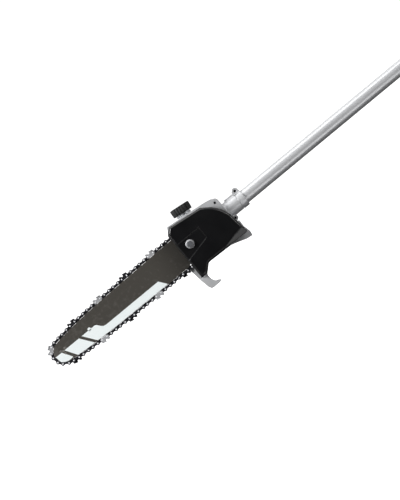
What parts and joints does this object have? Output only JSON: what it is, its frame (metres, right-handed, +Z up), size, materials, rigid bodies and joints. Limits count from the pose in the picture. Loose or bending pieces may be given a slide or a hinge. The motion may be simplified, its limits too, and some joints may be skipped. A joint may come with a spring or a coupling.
{
  "type": "telescoping pole saw",
  "caption": "Pole saw with a guide bar and saw chain on a cast angled gearbox, a two stage telescoping pole with a drive shaft inside, and a battery power unit with a trigger grip.",
  "frame": {"origin": "under the middle of the object, at the height of its lowest point", "axes": "+X back along the pole from the guide bar to the battery, +Z up, the sprocket cover faces -Y"},
  "size_m": [1.8272, 0.0908, 0.1425],
  "materials": {
    "bar_steel": "painted, satin",
    "black_nylon": "moulded, matte",
    "board": "solder mask",
    "brass": "machined",
    "cast_aluminium": "cast, fine grain",
    "chain_steel": "oiled, dark",
    "copper": "enamelled winding",
    "foam": "closed cell foam",
    "glossy_nylon": "moulded, glossy",
    "grey_nylon": "moulded, fine texture",
    "rubber": "moulded",
    "steel": "machined, zinc plated",
    "tube_aluminium": "anodised, satin"
  },
  "bodies": {
    "pole": {"rear_tube": "tube_aluminium", "lock_collar": "black_nylon", "lock_lever_pin": "steel", "foam_grip": "foam", "strap_band": "black_nylon", "power_housing_left": "grey_nylon", "power_housing_right": "grey_nylon", "motor_stator": "copper", "switch_module": "black_nylon", "control_board": "board", "battery_rail": "black_nylon"},
    "head": {"gearbox_inner_half": "cast_aluminium", "gearbox_outer_half": "cast_aluminium", "housing_screw_top": "steel", "housing_screw_rear": "steel", "housing_screw_front": "steel", "saw_chain": "chain_steel", "output_bearing_front": "steel", "output_bearing_rear": "steel", "pinion_bearing_front": "steel", "pinion_bearing_rear": "steel", "sprocket_cover": "glossy_nylon", "bar_stud": "steel", "oil_neck": "steel", "oil_pickup": "rubber", "oil_pump_body": "brass", "tube_clamp_ring": "cast_aluminium", "tube_clamp_screw": "steel", "front_tube": "tube_aluminium", "shaft_bush_1": "black_nylon", "shaft_bush_2": "black_nylon", "shaft_bush_3": "black_nylon", "tube_slide_bush": "black_nylon"},
    "bar": {"guide_bar": "bar_steel", "tension_block": "steel"},
    "nose_wheel": {"nose_sprocket": "steel"},
    "tension_screw": {"tension_screw": "steel"},
    "nut_washer": {"bar_nut_washer": "steel"},
    "bar_nut": {"bar_nut": "steel"},
    "output": {"output_shaft": "steel", "bevel_wheel": "steel", "drive_sprocket": "steel", "retaining_clip": "steel", "pump_worm": "brass"},
    "front_drive": {"bevel_pinion": "steel", "front_drive_shaft": "steel"},
    "pump_plunger": {"oil_pump_plunger": "steel"},
    "cap_plug": {"oil_cap_plug": "black_nylon"},
    "oil_cap": {"oil_cap": "black_nylon"},
    "rear_drive": {"rear_drive_sleeve": "steel", "drive_coupling": "rubber", "motor_rotor": "steel"},
    "lock_lever": {"lock_lever": "grey_nylon"},
    "strap_ring": {"strap_ring": "steel"},
    "trigger": {"trigger": "black_nylon"},
    "lock_off": {"lock_off_button": "black_nylon"},
    "battery": {"battery_pack": "black_nylon"},
    "battery_latch": {"battery_latch": "grey_nylon"}
  },
  "joints": [
    {"name": "pole_extend", "type": "slide", "parent": "pole", "child": "head", "axis": [-1, 0, 0], "range_m": [0, 0.45]},
    {"name": "bar_slack", "type": "slide", "parent": "head", "child": "bar", "axis": [1, 0, 0], "range_m": [0, 0.0015]},
    {"name": "tension_turn", "type": "hinge", "parent": "head", "child": "tension_screw", "pos_m": [-0.61642, -0.01045, 0.0677], "axis": [1, 0, 0], "range_deg": [0, 540]},
    {"name": "nose_spin", "type": "hinge", "parent": "bar", "child": "nose_wheel", "pos_m": [-0.88902, -0.01665, 0.0762], "axis": [0, 1, 0], "continuous": true},
    {"name": "bar_nut_lift", "type": "slide", "parent": "head", "child": "nut_washer", "axis": [0, -1, 0], "range_m": [0, 0.005]},
    {"name": "bar_nut_turn", "type": "hinge", "parent": "nut_washer", "child": "bar_nut", "pos_m": [-0.61642, -0.03865, 0.0802], "axis": [0, -1, 0], "range_deg": [0, 1440]},
    {"name": "output_spin", "type": "hinge", "parent": "head", "child": "output", "pos_m": [-0.57042, -0.01665, 0.0833], "axis": [0, 1, 0], "continuous": true},
    {"name": "drive_spin", "type": "hinge", "parent": "head", "child": "front_drive", "pos_m": [-0.51642, 0.00735, 0.0833], "axis": [1, 0, 0], "continuous": true, "deforming": ["saw_chain"]},
    {"name": "pump_spin", "type": "hinge", "parent": "head", "child": "pump_plunger", "pos_m": [-0.58362, 0.01035, 0.0802], "axis": [0, 0, 1], "continuous": true},
    {"name": "oil_cap_lift", "type": "slide", "parent": "head", "child": "cap_plug", "axis": [0.1149, 0, 0.9934], "range_m": [0, 0.009]},
    {"name": "oil_cap_turn", "type": "hinge", "parent": "cap_plug", "child": "oil_cap", "pos_m": [-0.59322, 0.00735, 0.1208], "axis": [0.1149, 0, 0.9934], "range_deg": [0, 1080]},
    {"name": "rear_drive_spin", "type": "hinge", "parent": "pole", "child": "rear_drive", "pos_m": [0.58358, 0.00735, 0.0833], "axis": [1, 0, 0], "continuous": true},
    {"name": "lock_lever_turn", "type": "hinge", "parent": "pole", "child": "lock_lever", "pos_m": [-0.10242, 0.00735, 0.1088], "axis": [0, -1, 0], "range_deg": [0, 105]},
    {"name": "strap_ring_swing", "type": "hinge", "parent": "pole", "child": "strap_ring", "pos_m": [0.44358, 0.00735, 0.1073], "axis": [0, -1, 0], "range_deg": [0, 150]},
    {"name": "trigger_pull", "type": "hinge", "parent": "pole", "child": "trigger", "pos_m": [0.72958, 0.00735, 0.0683], "axis": [0, -1, 0], "range_deg": [0, 9], "stiffness_Nm_per_rad": 0.5, "springref_deg": -2.86},
    {"name": "lock_off_press", "type": "slide", "parent": "pole", "child": "lock_off", "axis": [0, 0, -1], "range_m": [0, 0.003], "stiffness_N_per_m": 300, "springref_m": -0.002},
    {"name": "battery_slide", "type": "slide", "parent": "pole", "child": "battery", "axis": [1, 0, 0], "range_m": [0, 0.06]},
    {"name": "battery_latch_press", "type": "slide", "parent": "battery", "child": "battery_latch", "axis": [0, 0, -1], "range_m": [0, 0.0025], "stiffness_N_per_m": 400, "springref_m": -0.002}
  ],
  "couplings": [
    {"joint": "bar_nut_turn", "follows": "bar_nut_lift", "rad_per_m": 5026.5},
    {"joint": "tension_turn", "follows": "bar_slack", "rad_per_m": 6283.2},
    {"joint": "output_spin", "follows": "drive_spin", "ratio": 0.66667},
    {"joint": "nose_spin", "follows": "drive_spin", "ratio": 0.57143},
    {"joint": "pump_spin", "follows": "drive_spin", "ratio": 0.066667},
    {"joint": "rear_drive_spin", "follows": "drive_spin", "ratio": 1},
    {"joint": "oil_cap_lift", "follows": "oil_cap_turn", "m_per_rad": 0.00047746}
  ]
}
